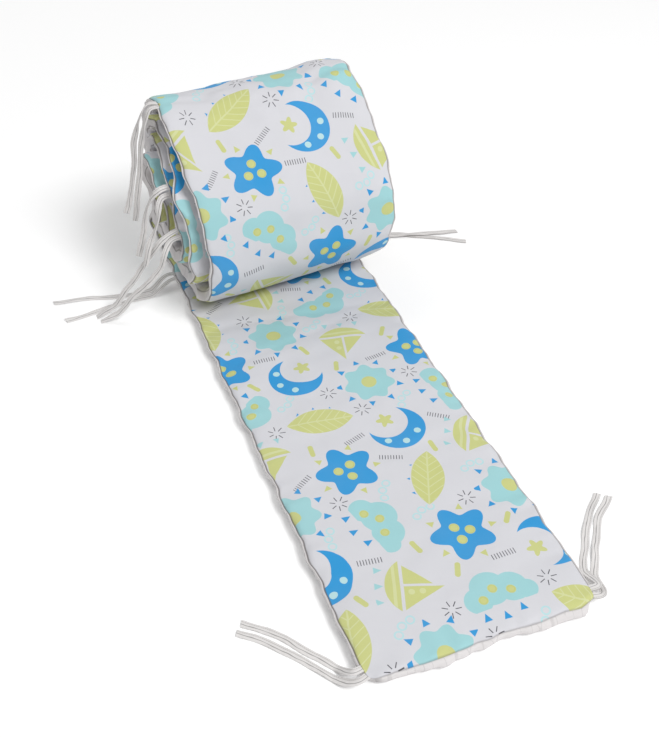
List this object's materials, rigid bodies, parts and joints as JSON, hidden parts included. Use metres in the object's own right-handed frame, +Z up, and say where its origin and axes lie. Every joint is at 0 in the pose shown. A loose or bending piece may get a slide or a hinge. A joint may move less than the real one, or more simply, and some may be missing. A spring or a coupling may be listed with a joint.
{
  "type": "crib bumper",
  "caption": "Padded cotton crib bumper, its near end laid flat and the rest rolled up on the flat run, with tape ties in the side seams.",
  "frame": {"origin": "on the surface, under the middle of the part's box", "axes": "+X across the strip, +Y along it from the flat end towards the roll, +Z up"},
  "size_m": [0.709, 0.9914, 0.3344],
  "materials": {
    "printed_cotton": "printed cotton percale on the face, plain white cotton on the back",
    "cotton_tape": "folded off-white cotton tape"
  },
  "bodies": {
    "root": {"bumper_pad": "printed_cotton", "tie_near_left_1": "cotton_tape", "tie_near_left_2": "cotton_tape", "tie_near_right_1": "cotton_tape", "tie_near_right_2": "cotton_tape", "tie_back_left_1": "cotton_tape", "tie_back_left_2": "cotton_tape", "tie_back_right_1": "cotton_tape", "tie_back_right_2": "cotton_tape", "tie_top_left_1": "cotton_tape", "tie_top_left_2": "cotton_tape", "tie_middle_left_1": "cotton_tape", "tie_middle_left_2": "cotton_tape", "tie_low_left_1": "cotton_tape", "tie_low_left_2": "cotton_tape"}
  },
  "joints": []
}
